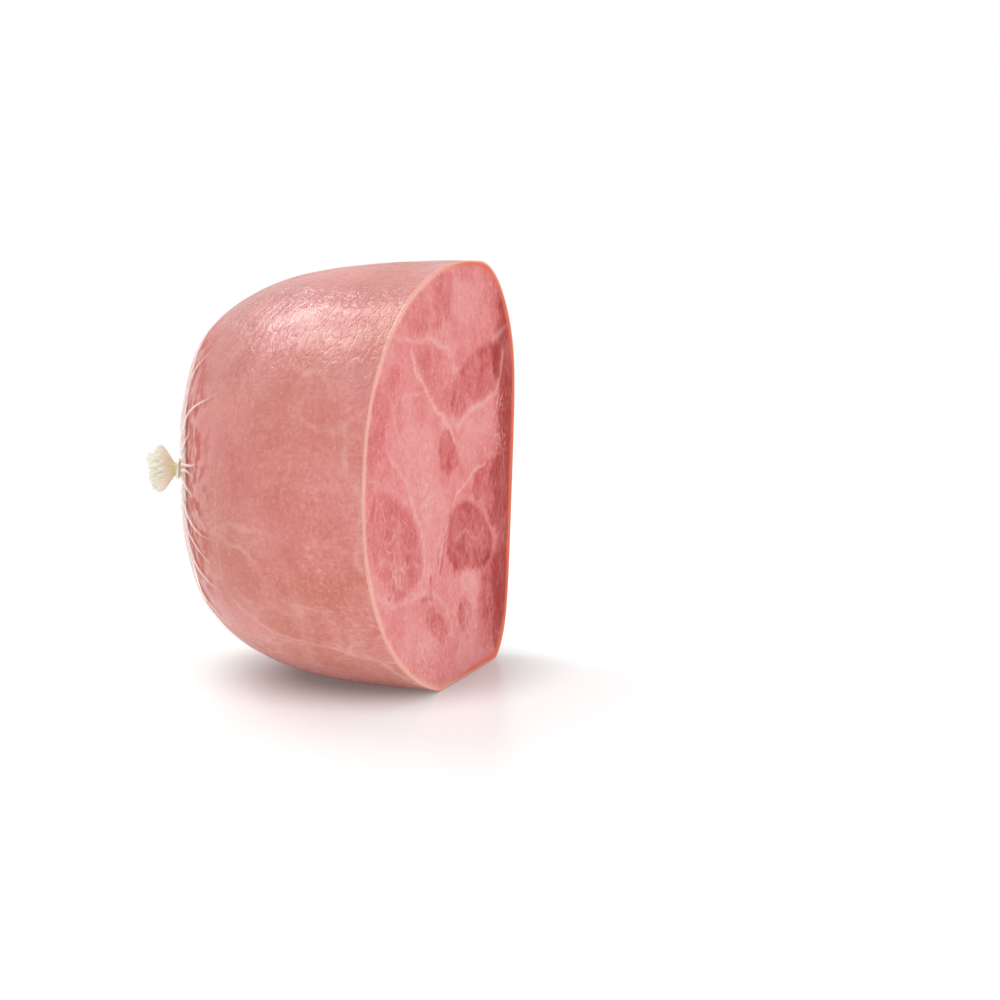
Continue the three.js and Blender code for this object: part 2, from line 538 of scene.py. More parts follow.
# The smoked outside of the meat, seen through the film.
smokedSkin = {
    "shader": {"IOR": 1.45, "Specular IOR Level": 0.42},
    "pink": (0.732, 0.232, 0.208),
    "rose": (0.748, 0.254, 0.240),
    "tan": (0.575, 0.150, 0.088),
    "deep": (0.590, 0.110, 0.078),
    "vein": (0.850, 0.430, 0.370),
    "rawMeatAndShade": (0.560, 0.080, 0.050),      # between the folds, where the film stands off, and painted shade in the furrows beside the folds
    "hazy": (0.570, 0.250, 0.250),     # greyer, where the film is crumpled
    "hazyShare": 0.30,
    "slow": (22, 3, 0.5, 0.5),
    "rosePatches": (0.38, 0.62),
    "blotch": (75, 4, 0.6, 0.6),
    "blotchStretch": (0.7, 1, 1),
    "tanBlotches": (0.25, 0.7, 0.60, 1.0),
    "deepBlotches": (0.50, 0.74, 0.0, 0.60),
    "speck": (700, 3, 0.6),
    "paleSpecks": (0.52, 0.68, 0.0, 0.40),
    "deepSpecks": (0.47, 0.32, 0.0, 0.40),
    "weave": (560, 3, 0.6),
    "weaveStretches": [(2.0, 1, 0.5), (0.4, 0.6, 2.0)],
    "paleWeave": (0.95, 1.22, 0.0, 0.17),
    "deepWeave": (0.97, 0.76, 0.0, 0.16),
    "veins": {"Scale": 26.0, "Thinness": 0.045, "Patchiness": 0.42},
    "veinStretch": (0.8, 1, 1),
    "veinShare": 0.75,
    "rough": (0.3, 0.7, 0.21, 0.33),
    "crumpledGloss": 0.10,
    "furrowDullness": 0.40,
    "crinkle": {"Size": 165.0, "Softness": 1.05},
    "crinkleStretch": (1.7, 0.7, 0.7),
    # arc-shaped creases about a middle, near it and beyond its side of the skin only
    "arcMiddle": (0.036, -0.034, 0.077),
    "arcStretch": (1, 0.8, 0.62),
    "arcWave": {"Scale": 85.0, "Distortion": 5.0, "Detail": 3.0, "Detail Scale": 1.6},
    "arcNear": (0.036, 0.028),
    "arcSide": (0.026, 0.014),
    "arcEdge": (0.02, 0.35),
    "arcDepth": 0.62,
    "speckDepth": 0.06,
    "bump": (1.0, 0.74 * mm),
}


def arcCreases(tree, look):
    fromMiddle = vectorMaths(tree, "SUBTRACT", objectSpace(tree, look["arcStretch"]), look["arcMiddle"])[0]
    waves = place(tree, "ShaderNodeTexWave", {"Vector": fromMiddle, **look["arcWave"]},
                  wave_type="RINGS", rings_direction="SPHERICAL").outputs["Fac"]
    distance = vectorMaths(tree, "LENGTH", fromMiddle, (0, 0, 0))["Value"]
    along = place(tree, "ShaderNodeSeparateXYZ", {0: objectSpace(tree)}).outputs["X"]
    zone = times(tree, remap(tree, distance, *look["arcNear"]), remap(tree, along, *look["arcSide"]))
    return times(tree, remap(tree, waves, *look["arcEdge"]), zone)


def makeSmokedSkin():
    look = smokedSkin
    material, tree, shader = newMaterial("smokedSkin", look["shader"])
    space = objectSpace(tree)
    slow = noiseOf(tree, space, *look["slow"])
    blotch = noiseOf(tree, objectSpace(tree, look["blotchStretch"]), *look["blotch"])
    speck = noiseOf(tree, space, *look["speck"])
    weave = plus(tree, *(noiseOf(tree, objectSpace(tree, stretch), *look["weave"])
                         for stretch in look["weaveStretches"]))
    veins = useGroup(tree, marbling, objectSpace(tree, look["veinStretch"]), look["veins"])
    crinkled, furrow = mask(tree, "crinkled"), mask(tree, "furrow")
    colour = mixColour(tree, remap(tree, slow, *look["rosePatches"]), look["pink"], look["rose"])
    colour = paintOver(tree, colour, [
        (times(tree, mask(tree, "tanShare"), remap(tree, blotch, *look["tanBlotches"]), True), look["tan"]),
        (remap(tree, blotch, *look["deepBlotches"]), look["deep"]),
        (times(tree, veins, look["veinShare"]), look["vein"]),
        (remap(tree, speck, *look["paleSpecks"]), look["vein"]),
        (remap(tree, weave, *look["paleWeave"]), look["vein"]),
        (remap(tree, weave, *look["deepWeave"]), look["deep"]),
        (remap(tree, speck, *look["deepSpecks"]), look["deep"]),
        # pale veins and marks, and a painted sheen
        (mask(tree, "paleMarkAndSheen"), look["vein"]),
        (mask(tree, "darkMark"), look["deep"]),
        (times(tree, crinkled, look["hazyShare"]), look["hazy"]),
        (furrow, look["rawMeatAndShade"]),
    ])
    rough = remap(tree, blotch, *look["rough"])
    rough = maths(tree, "SUBTRACT", rough, times(tree, crinkled, look["crumpledGloss"]))
    rough = plus(tree, rough, times(tree, furrow, look["furrowDullness"]), True)
    feed(tree, shader, {"Base Color": colour, "Roughness": rough})
    crease = useGroup(tree, crinkle, objectSpace(tree, look["crinkleStretch"]), look["crinkle"])
    crease = plus(tree, crease, times(tree, arcCreases(tree, look), look["arcDepth"]))
    height = plus(tree, times(tree, crease, crinkled), times(tree, speck, look["speckDepth"]))
    roughen(tree, shader, height, *look["bump"])
    return material


# The film: all but clear where it is tight, milky round the clip and along its cut edge.
clearFilm = {
    # the faint emission is a painted glow, standing in for light coming through the film
    "shader": {"Roughness": 0.14, "IOR": 1.5, "Emission Strength": 0.03},
    "colour": (0.94, 0.71, 0.66),
    # the peach cut edge is a painted highlight along the film's rolled edge
    "edgeColourAndHighlight": (0.97, 0.58, 0.44),
    # how solid the film is
    "tight": 0.035,
    "milky": 0.74,
    "besideFolds": 0.10,
    "edge": 0.85,
    "streak": (260, 3, 0.6, 0.5),
    "milkyStreaks": (0.25, 0.7, 0.55, 1.0),
    "crinkle": {"Size": 260.0, "Softness": 1.0},
    "bump": (0.35, 0.4 * mm),
}


def makeClearFilm():
    look = clearFilm
    paintedGlow = {"Emission Color": (*look["colour"], 1)}
    material, tree, shader = newMaterial("clearFilm", {**look["shader"], **paintedGlow})
    space = objectSpace(tree)
    streaks = remap(tree, noiseOf(tree, space, *look["streak"]), *look["milkyStreaks"])
    milky = times(tree, times(tree, mask(tree, "milky"), streaks, True), look["milky"])
    alpha = plus(tree, milky, times(tree, mask(tree, "ridge"), look["besideFolds"]))
    alpha = maths(tree, "MAXIMUM", alpha, times(tree, mask(tree, "cutEdge"), look["edge"]))
    colour = mixColour(tree, mask(tree, "cutEdge"), look["colour"], look["edgeColourAndHighlight"])
    feed(tree, shader, {"Alpha": plus(tree, alpha, look["tight"], True), "Base Color": colour})
    roughen(tree, shader, useGroup(tree, crinkle, space, look["crinkle"]), *look["bump"])
    return material


# Pinched folds, whiter than the flat film, with a painted glow standing in for light coming through them.
foldedFilm = {
    "shader": {"Roughness": 0.24, "IOR": 1.5, "Emission Strength": 0.12},
    "colour": (0.97, 0.72, 0.64),
    "white": (0.99, 0.84, 0.78),
    "streak": (420, 3, 0.6, 0.6),
    "solid": (0.25, 0.6, 0.6, 0.85),
    "crest": (0.10, 0.75),
    "strength": (0.0, 0.7),
    "crinkle": {"Size": 700.0, "Softness": 1.0},
    "bump": (0.3, 0.15 * mm),
}


def makeFoldedFilm():
    look = foldedFilm
    paintedGlow = {"Emission Color": (*look["white"], 1)}
    material, tree, shader = newMaterial("foldedFilm", {**look["shader"], **paintedGlow})
    space = objectSpace(tree)
    streak = noiseOf(tree, space, *look["streak"])
    faded = times(tree, *(remap(tree, mask(tree, name), *look[name]) for name in ("crest", "strength")))
    alpha = times(tree, faded, remap(tree, streak, *look["solid"]), True)
    colour = mixColour(tree, streak, look["colour"], look["white"])
    feed(tree, shader, {"Base Color": colour, "Alpha": alpha})
    roughen(tree, shader, useGroup(tree, crinkle, space, look["crinkle"]), *look["bump"])
    return material


# The gathered tail of the film beyond the clip. Its glow is light coming through the thin film.
gatheredFilm = {
    "shader": {"Roughness": 0.38, "IOR": 1.45, "Emission Strength": 0.075},
    "amber": (0.88, 0.78, 0.48),
    "cream": (0.95, 0.92, 0.75),
    "white": (0.95, 0.94, 0.86),
    "spread": {"amber": 0.0, "cream": 0.45, "white": 1.0},
    "uneven": (500, 3, 0.6),
    "unevenShare": 0.5,
    "valleyShadeShare": 0.55,
    "crinkle": {"Size": 1400.0, "Softness": 1.0},
    "bump": (0.5, 0.12 * mm),
}


def makeGatheredFilm():
    look = gatheredFilm
    material, tree, shader = newMaterial("gatheredFilm", look["shader"])
    space = objectSpace(tree)
    uneven = sway(tree, noiseOf(tree, space, *look["uneven"]), look["unevenShare"])
    spread = plus(tree, mask(tree, "spread"), uneven, True)
    colour = ramp(tree, spread, [(at, look[name]) for name, at in look["spread"].items()])
    # painted shade: the pleat valleys are tinted darker amber
    colour = mixColour(tree, times(tree, mask(tree, "valley"), look["valleyShadeShare"]), colour, look["amber"])
    feed(tree, shader, {"Base Color": colour, "Emission Color": colour})
    roughen(tree, shader, useGroup(tree, crinkle, space, look["crinkle"]), *look["bump"])
    return material


# Bright aluminium wire.
clipWire = {
    "colour": (0.94, 0.945, 0.94),
    "scuff": (3000, 4, 0.7),
    "scuffStretch": (1, 1, 0.25),
    "rough": (0.35, 0.65, 0.38, 0.58),
    "bump": (0.25, 0.03 * mm),
}


def makeClipWire():
    look = clipWire
    material, tree, shader = newMaterial("clipWire", {"Base Color": (*look["colour"], 1), "Metallic": 1.0})
    scuff = noiseOf(tree, objectSpace(tree, look["scuffStretch"]), *look["scuff"])
    feed(tree, shader, {"Roughness": remap(tree, scuff, *look["rough"])})
    roughen(tree, shader, scuff, *look["bump"])
    return material


# What the cut shows, in millimetres from the middle of the face's width and up from the floor.
# Seams are width, strength and the line.
cutSeams = [
    (1.1, 1.0, [(-33, 118), (-25, 110), (-16, 102), (-5, 96), (2, 91), (8, 86)]),
    (1.1, 0.62, [(-49, 125), (-41, 123), (-32, 122), (-18, 122), (-7, 121), (1, 118), (6, 114), (12, 109)]),
    (0.9, 0.7, [(-3, 130), (-4, 125), (-6, 121)]),
    (1.0, 0.6, [(10, 121), (6, 116), (6, 111)]),
    (1.5, 0.65, [(10, 91), (23, 96), (35, 98), (44, 100), (51, 104), (56, 110), (58, 117)]),
    (1.3, 0.5, [(66, 127), (56, 125), (47, 121)]),
    (1.1, 0.8, [(38, 76), (25, 73), (14, 69), (4, 64), (0, 59), (-4, 51), (-9, 43)]),
    (1.2, 0.75, [(-51, 85), (-41, 79), (-34, 72), (-29, 65), (-23, 58), (-21, 48), (-22, 42)]),
    (1.6, 0.55, [(-60, 41), (-46, 37), (-32, 37), (-20, 37)]),
    (0.8, 0.5, [(-39, 104), (-33, 104), (-24, 104)]),
    (0.8, 0.5, [(-50, 104), (-46, 97), (-42, 90)]),
    (0.8, 0.4, [(-57, 104), (-54, 97), (-52, 90)]),
    (1.2, 0.5, [(-66, 80), (-60, 77), (-55, 79)]),
    (1.0, 0.5, [(-17, 32), (-17, 24), (-15, 16)]),
    (1.1, 0.55, [(-14, 34), (-6, 31), (2, 24), (4, 17)]),
    (1.2, 0.4, [(6, 16), (5, 24), (10, 31), (20, 31), (28, 25)]),
    (1.0, 0.3, [(-24, 139), (-18, 130), (-12, 122)]),
    (0.9, 0.45, [(-62, 62), (-52, 58), (-44, 60), (-38, 55), (-30, 52)]),
    (1.0, 0.5, [(-60, 52), (-50, 51), (-43, 47), (-33, 49), (-26, 46)]),
    (0.9, 0.5, [(-45, 60), (-43, 53), (-46, 46), (-42, 41)]),
    (0.9, 0.35, [(8, 50), (18, 53), (26, 49), (36, 52)]),
    (1.2, 0.3, [(52, 92), (54, 85), (58, 78), (60, 70)]),
]
# Muscle bundles: how much deeper each is than the rest, how soft its edge is, and its outline.
muscles = {
    "round lobe": (0.34, 2.2, [(-61, 74), (-44, 71), (-34, 65), (-27, 57), (-23, 49), (-25, 43), (-34, 40),
        (-46, 40), (-58, 46), (-65, 54), (-68, 64)]),
    "back lobe": (0.46, 2.4, [(5, 62), (20, 64), (35, 59), (45, 49), (43, 39), (26, 38), (8, 40), (1, 48),
        (1, 57)]),
    "back upper": (0.36, 3.0, [(28, 74), (44, 77), (62, 74), (64, 58), (50, 48), (40, 58), (26, 66)]),
    "deep upper": (0.34, 2.6, [(8, 109), (19, 115), (36, 120), (53, 120), (56, 113), (49, 104), (38, 99),
        (23, 98), (10, 94), (3, 100)]),
    "between the arms": (0.16, 2.0, [(-31, 119), (-18, 120), (-7, 120), (2, 113), (8, 106), (4, 96),
        (-5, 98), (-17, 106)]),
    "round strip": (0.24, 3.0, [(-66, 104), (-56, 109), (-49, 114), (-42, 112), (-50, 100), (-56, 90),
        (-68, 88)]),
    "round low strip": (0.26, 3.0, [(-68, 86), (-58, 88), (-50, 82), (-58, 76), (-69, 74)]),
    "mid streak": (0.3, 1.6, [(-4, 90), (4, 89), (9, 84), (8, 77), (-5, 77), (-8, 83)]),
    "lens": (0.34, 1.0, [(-7, 50), (-4, 46), (-7, 41), (-10, 45)]),
    "low back": (0.46, 9.0, [(38, 39), (56, 44), (66, 36), (66, 20), (58, 6), (42, 5), (34, 14), (32, 27)]),
    "oval": (0.32, 1.6, [(8, 24), (15, 29), (24, 23), (16, 17)]),
    "tilted oval": (0.34, 1.6, [(-18, 31), (-9, 28), (0, 20), (-3, 16), (-14, 20), (-20, 26)]),
    "top strip": (0.2, 2.6, [(-9, 145), (3, 145), (5, 138), (3, 130), (-5, 125), (-11, 130), (-12, 139)]),
    "round shoulder": (0.18, 3.0, [(-41, 132), (-25, 138), (-17, 133), (-19, 125), (-36, 126)]),
    "pale middle": (-0.24, 3.0, [(-42, 92), (-24, 94), (-9, 91), (-9, 76), (-24, 70), (-36, 76)]),
    "pale column": (-0.2, 2.4, [(-26, 68), (-10, 74), (2, 68), (-4, 56), (-12, 42), (-20, 42), (-20, 55)]),
    "pale top": (-0.22, 3.5, [(8, 142), (26, 141), (31, 133), (20, 127), (8, 130)]),
    "pale low": (-0.16, 3.0, [(0, 40), (27, 37), (30, 28), (20, 32), (4, 31)]),
    "pale belly": (-0.12, 4.0, [(-44, 24), (-20, 22), (-8, 12), (-8, 4), (-34, 9)]),
    "pale arm": (-0.16, 3.0, [(10, 88), (30, 94), (40, 90), (34, 82), (14, 78)]),
}
# A noise here and below is the size of its lumps, its octaves and its seed.
cutFace = {
    "baseTone": 0.34,
    "backShadeTone": 1.15,                # painted shade, deeper towards the pressed back edge of the face
    "backShadeRun": (40, 70),
    "roundTone": 0.10,               # and paler towards the round side
    "roundRun": (-35, -70),
    "wander": [(9 * mm, 3, 1), (9 * mm, 3, 2)],
    "wanderBy": (1.6, 1.3),
    "wanderTone": 0.15,
    "jitter": (2.4 * mm, 2, 3),
    "jitterBy": (0.6, 0.4),
    "jitterTone": 0.10,
    "outlineSoft": 0.7,
    "halo": {"fromTone": 0.3, "strength": 0.08, "outside": 1.4, "width": 1.1, "even": 0.7},
    "seam": {"width": 0.78, "wander": 0.7, "thinnest": 0.35, "even": 0.82, "jitter": 0.6},
    "feather": {"strength": 0.26, "width": 2.6, "thinnest": 0.6, "patches": (-0.1, 0.4)},
    "flake": (1.3 * mm, 2, 12),
    # where the meat crumbles, and how far round each place
    "crumbs": [((-19, 69), 5.5), ((-32, 70), 3.0), ((-44, 47), 7.0), ((53, 98), 7.0), ((55, 84), 6.0),
               ((-22, 14), 9.0)],
    "crumbWide": 1.2,
    "crumbPale": (-0.05, 0.45, 0.75),
    "crumbDark": (0.25, 0.55, 0.35),
    "cracks": [[(-58, 43), (-52, 40), (-45, 40), (-33, 38)], [(-24, 35), (-15, 33)], [(-15, 41), (-17, 34)],
               [(5, 66), (2, 61), (-1, 55), (-3, 48)]],
    "crackWidth": 0.6,
    "crackEven": 0.60,
    "rimWidth": 2.0,
    "backRimWidth": 3.8,
    "backRimRun": (10, 62),
    "rimSoft": (0.35, 1.25),
    "rimWander": 0.5,
    "rimJitter": 0.35,
    "rimColourRun": (-25, 25),
    "seamDepth": 0.15 * mm,
    "crackDepth": 0.22 * mm,
    "fineGrain": (1.6 * mm, 3, 7),
    "fineDepth": 0.10 * mm,
    "broadGrain": (14 * mm, 2, 8),
    "broadDepth": 0.15 * mm,
    "flatRun": 2 * mm,               # the face comes back to the rim over this
}


def smoothLine(points, steps=14):
    # a curve through given points
    padded = [points[0]] + list(points) + [points[-1]]
    line = []
    for a, b, c, d in zip(padded, padded[1:], padded[2:], padded[3:]):
        a, b, c, d = (np.array(p, float) for p in (a, b, c, d))
        for t in np.linspace(0, 1, steps, endpoint=False):
            line.append(0.5 * (2 * b + (c - a) * t + (2 * a - 5 * b + 4 * c - d) * t ** 2
                               + (3 * b - a - 3 * c + d) * t ** 3))
    line.append(np.array(points[-1], float))
    return np.array(line)


def distanceTo(line, across, up):
    nearest = np.full(across.shape, 1e9)
    for (ax, ay), (bx, by) in zip(line, line[1:]):
        dx, dy = bx - ax, by - ay
        t = np.clip(((across - ax) * dx + (up - ay) * dy) / (dx * dx + dy * dy + 1e-9), 0, 1)
        nearest = np.minimum(nearest, np.hypot(across - ax - t * dx, up - ay - t * dy))
    return nearest


def insideOf(outline, across, up):
    # signed distance to a closed outline, positive inside
    inside = np.zeros(across.shape, bool)
    for (ax, ay), (bx, by) in zip(outline, np.roll(outline, -1, 0)):
        if ay == by:
            continue
        crosses = (ay > up) != (by > up)
        inside ^= crosses & (across < (bx - ax) * (up - ay) / (by - ay) + ax)
    gap = distanceTo(np.concatenate([outline, outline[:1]]), across, up)
    return np.where(inside, gap, -gap)


def closedLine(points):
    # a closed curve through given points
    count = len(points)
    steps = 8
    line = smoothLine([points[i % count] for i in range(-2, count + 3)], steps)
    return line[2 * steps:(count + 2) * steps]


def faceMasks(points, rimDistance):
    face, halo, seam, feather = cutFace, cutFace["halo"], cutFace["seam"], cutFace["feather"]
    fromMiddle = points[..., 1] / mm
    wander = [noiseField(points, *field) for field in face["wander"]]
    jitter = noiseField(points, *face["jitter"])
    flake = noiseField(points, *face["flake"])
    across = fromMiddle + wander[0] * face["wanderBy"][0] + jitter * face["jitterBy"][0]
    up = (points[..., 2] - floorZ) / mm + wander[1] * face["wanderBy"][1] + jitter * face["jitterBy"][1]
    tone = np.full(across.shape, face["baseTone"])
    pale = np.zeros_like(across)
    for deeper, soft, outline in muscles.values():
        gap = insideOf(closedLine(outline), across, up)
        soft = soft * face["outlineSoft"]
        tone = tone + deeper * smooth(-soft, soft, gap)
        if deeper > halo["fromTone"]:
            pale = np.maximum(pale, halo["strength"] * peak(gap + halo["outside"], halo["width"])
                              * (halo["even"] + wander[0]))
    # painted shade: the face's tone deepens towards its pressed back edge
    tone = tone + face["backShadeTone"] * smooth(*face["backShadeRun"], across)
    tone = tone - face["roundTone"] * smooth(*face["roundRun"], across)
    tone = tone + face["wanderTone"] * wander[1] + face["jitterTone"] * jitter
    for width, strength, line in cutSeams:
        gap = distanceTo(smoothLine(line), across, up)
        thick = width * seam["width"] * (1 + seam["wander"] * wander[0])
        core = peak(gap, np.maximum(thick, seam["thinnest"])) * (seam["even"] + seam["jitter"] * jitter)
        wide = feather["strength"] * peak(gap, np.maximum(thick * feather["width"], feather["thinnest"]))
        wide = wide * smooth(*feather["patches"], jitter)
        pale = np.maximum(pale, strength * np.maximum(core, wide))
    crumb = np.zeros_like(across)
    for (beside, high), radius in face["crumbs"]:
        away = np.hypot((across - beside) / face["crumbWide"], up - high)
        crumb = np.maximum(crumb, peak(away, radius))
    low, high, share = face["crumbPale"]
    pale = np.maximum(pale, crumb * smooth(low, high, flake) * share)
    crack = np.zeros_like(across)
    for line in face["cracks"]:
        gap = distanceTo(smoothLine(line), across, up)
        crack = np.maximum(crack, peak(gap, face["crackWidth"]) * np.clip(face["crackEven"] + jitter, 0, 1))
    low, high, share = face["crumbDark"]
    crack = np.maximum(crack, crumb * smooth(low, high, -flake) * share)
    wider = smooth(*face["backRimRun"], fromMiddle)
    width = face["rimWidth"] + (face["backRimWidth"] - face["rimWidth"]) * wider
    edge = rimDistance / mm + wander[0] * face["rimWander"] + jitter * face["rimJitter"]
    rim = 1 - smooth(width * face["rimSoft"][0], width * face["rimSoft"][1], edge)
    return {"tone": np.clip(tone, 0, 1), "seam": np.clip(pale, 0, 1), "rim": rim,
            "crack": np.clip(crack, 0, 1), "backness": smooth(*face["rimColourRun"], fromMiddle)}


# Marks on the round side of the skin: millimetres from the cut and up from the floor.
skinMarks = {
    # width, strength and the line
    "paleLinesAndSheen": [
        (3.0, 0.30, [(29, 60), (28, 43), (28, 31), (34, 14)]),
        (0.8, 0.75, [(36, 114.5), (28, 113.6), (20, 112), (16, 109.5), (13, 105)]),
        (0.9, 0.50, [(18, 61), (12, 59), (6, 57.5)]),
        # a painted sheen: a pale horizontal band of faint reflection across the round side
        (4.5, 0.16, [(40, 84), (24, 85), (3, 83)]),
        (1.0, 0.28, [(36, 78), (20, 78), (3, 77)]),
        (1.6, 0.25, [(62, 60), (50, 57), (40, 58)]),
        (11.0, 0.20, [(84, 100), (60, 104), (36, 104), (16, 100)]),
    ],
    # radius, strength and the middle
    "darkSpots": [
        (5.5, 0.55, (27, 55)), (7, 0.40, (56, 56)), (8, 0.40, (46, 44)), (6, 0.35, (10, 62)),
        (9, 0.10, (21, 98)), (9, 0.30, (50, 77)), (10, 0.08, (55, 100)), (9, 0.18, (30, 66)),
        (15, 0.34, (86, 38)), (14, 0.24, (64, 26)),
    ],
    "spotTall": 1.3,
    "lineUneven": (0.8, 0.6),
    "spotUneven": (0.9, 0.8),
    "wander": (8 * mm, 3, 21),
    "wanderBy": 2.2,
    "ragged": (3 * mm, 2, 22),
    "raggedBy": 1.6,
    "sideRun": (18 * mm, 30 * mm),
}


def layMarks(skin):
    look = skinMarks
    ragged = noiseField(skin, *look["ragged"])
    fromCut = (cutX - skin[..., 0]) / mm + look["wanderBy"] * noiseField(skin, *look["wander"])
    rise = (skin[..., 2] - floorZ) / mm + look["raggedBy"] * ragged
    roundSide = smooth(*(axisY - run for run in look["sideRun"]), skin[..., 1])
    pale, dark = np.zeros(rise.shape), np.zeros(rise.shape)
    even, uneven = look["lineUneven"]
    for width, strength, line in look["paleLinesAndSheen"]:
        gap = distanceTo(smoothLine(line), fromCut, rise)
        pale = np.maximum(pale, strength * peak(gap, width) * (even + uneven * ragged))
    even, uneven = look["spotUneven"]
    for radius, strength, (along, high) in look["darkSpots"]:
        away = np.hypot(fromCut - along, (rise - high) / look["spotTall"])
        dark = np.maximum(dark, strength * peak(away, radius) * (even + uneven * ragged))
    return np.clip(pale, 0, 1) * roundSide, np.clip(dark, 0, 1) * roundSide


hamMesh = {
    "rows": 122,
    "around": 440,
    "rings": 98,
    "inset": 0.10 * mm,
    "nearCut": 6 * mm,           # lumps and furrows fade out over this before the cut
    "lumps": (26 * mm, 2, 4),
    "lumpHeight": 0.35 * mm,
    "ripples": (6.5 * mm, 2, 5),
    "rippleStretch": (1.0, 0.75, 0.75),
    "rippleCrest": 0.35,
    "rippleHeight": 0.12 * mm,
    "leastCrinkled": 0.10,
    "furrowDepth": 0.5 * mm,
    "edgeRounding": 0.05 * mm,
    "edgeRun": 1.2 * mm,
    "endSink": 2.3 * mm,         # the meat stands in from the film near the clip
    "endSinkRun": (32 * mm, 58 * mm),
    # how much tan the skin has: in slow patches, and more of it towards the floor
    "tanShare": {"base": 0.12, "patches": 0.9, "low": 0.78},
    "smokePatches": (34 * mm, 3, 9),
    "tanRise": (20 * mm, 95 * mm),
    # bare patches round the clip, where the film stands off
    "gaps": (5 * mm, 2, 13),
    "gapPatches": (-0.06, 0.16),
    "gapStrength": 0.88,
    "gapRuns": [(38 * mm, 43 * mm), (54 * mm, 76 * mm)],
    "haze": 0.20,
    "hazeRun": (60 * mm, 100 * mm),
    "furrowShade": 0.75,
    "skinTone": 0.4,
}


def endSink(toClip):
    return hamMesh["endSink"] * (1 - smooth(*hamMesh["endSinkRun"], toClip))


# The film is most crumpled along the upper round side: millimetres up, metres across.
crinkleZone = {
    "from": (98, 112),
    "to": (136, 146),
    "side": (0.02, -0.02),
    "patches": (22 * mm, 2, 6),
    "patchRun": (-0.35, 0.25),
    "least": 0.55,
}


def crinkleBand(points):
    zone = crinkleZone
    rise = (points[..., 2] - floorZ) / mm
    band = smooth(*zone["from"], rise) * (1 - smooth(*zone["to"], rise))
    band = band * smooth(*zone["side"], points[..., 1])
    patchy = smooth(*zone["patchRun"], noiseField(points, *zone["patches"]))
    return band * (zone["least"] + (1 - zone["least"]) * patchy)


def lumpLift(points):
    # slow lumps, the same for the meat and the film over it, and how clear of the cut each point is
    nearCut = smooth(0, hamMesh["nearCut"], cutX - points[..., 0])
    return noiseField(points, *hamMesh["lumps"]) * hamMesh["lumpHeight"], nearCut


def hamSkin(laid):
    # the skin from the cut to the clip, with its masks of furrows and crinkles
    look = hamMesh
    points, angle, reach, toClip = skinGrid(look["rows"], look["around"], 0, look["inset"], False)
    normal = gridNormals(points)
    _, furrow = foldField(angle, reach, toClip, laid)
    lumps, nearCut = lumpLift(points)
    ripple = noiseField(points * np.array(look["rippleStretch"]), *look["ripples"])
    ripple = (look["rippleCrest"] - np.abs(ripple)) * look["rippleHeight"]
    crinkled = look["leastCrinkled"] + (1 - look["leastCrinkled"]) * crinkleBand(points)
    lift = lumps + ripple * crinkled - look["furrowDepth"] * furrow - endSink(toClip)
    points = points + normal * (lift * nearCut)[..., None]
    rounded = look["edgeRounding"] * (1 - smooth(0, look["edgeRun"], cutX - points[..., 0]))
    points = points - normal * rounded[..., None]
    points[0, :, 0] = cutX
    points[..., 2] = np.maximum(points[..., 2], floorZ + look["inset"])
    (low, high), (fullTo, goneBy) = look["gapRuns"]
    collar = smooth(low, high, toClip) * (1 - smooth(fullTo, goneBy, toClip))
    gaps = look["gapStrength"] * collar * smooth(*look["gapPatches"], noiseField(points, *look["gaps"]))
    gaps = np.maximum(gaps, look["haze"] * (1 - smooth(*look["hazeRun"], toClip)))
    # the furrows beside the folds carry painted shade, the gaps round the clip show the bare meat
    return points, np.maximum(furrow * nearCut * look["furrowShade"], gaps), crinkled


def hamFace(rim):
    # rings from the middle of the cut out to its rim
    share = np.linspace(0, 1, hamMesh["rings"] + 1)[1:-1]
    centre = np.array([cutX, axisY, axisZ])
    face = centre + (rim - centre)[None, :, :] * share[:, None, None]
    rimDistance = np.linalg.norm(rim - centre, axis=-1)[None, :] * (1 - share[:, None])
    marks = faceMasks(face, rimDistance)
    sunk = cutFace["seamDepth"] * marks["seam"] + cutFace["crackDepth"] * marks["crack"]
    sunk = sunk + cutFace["fineDepth"] * (0.5 + noiseField(face, *cutFace["fineGrain"]))
    sunk = sunk + cutFace["broadDepth"] * (0.5 + noiseField(face, *cutFace["broadGrain"]))
    face[..., 0] -= sunk * smooth(0, cutFace["flatRun"], rimDistance)
    return face, marks, centre - np.array([hamMesh["inset"], 0, 0])


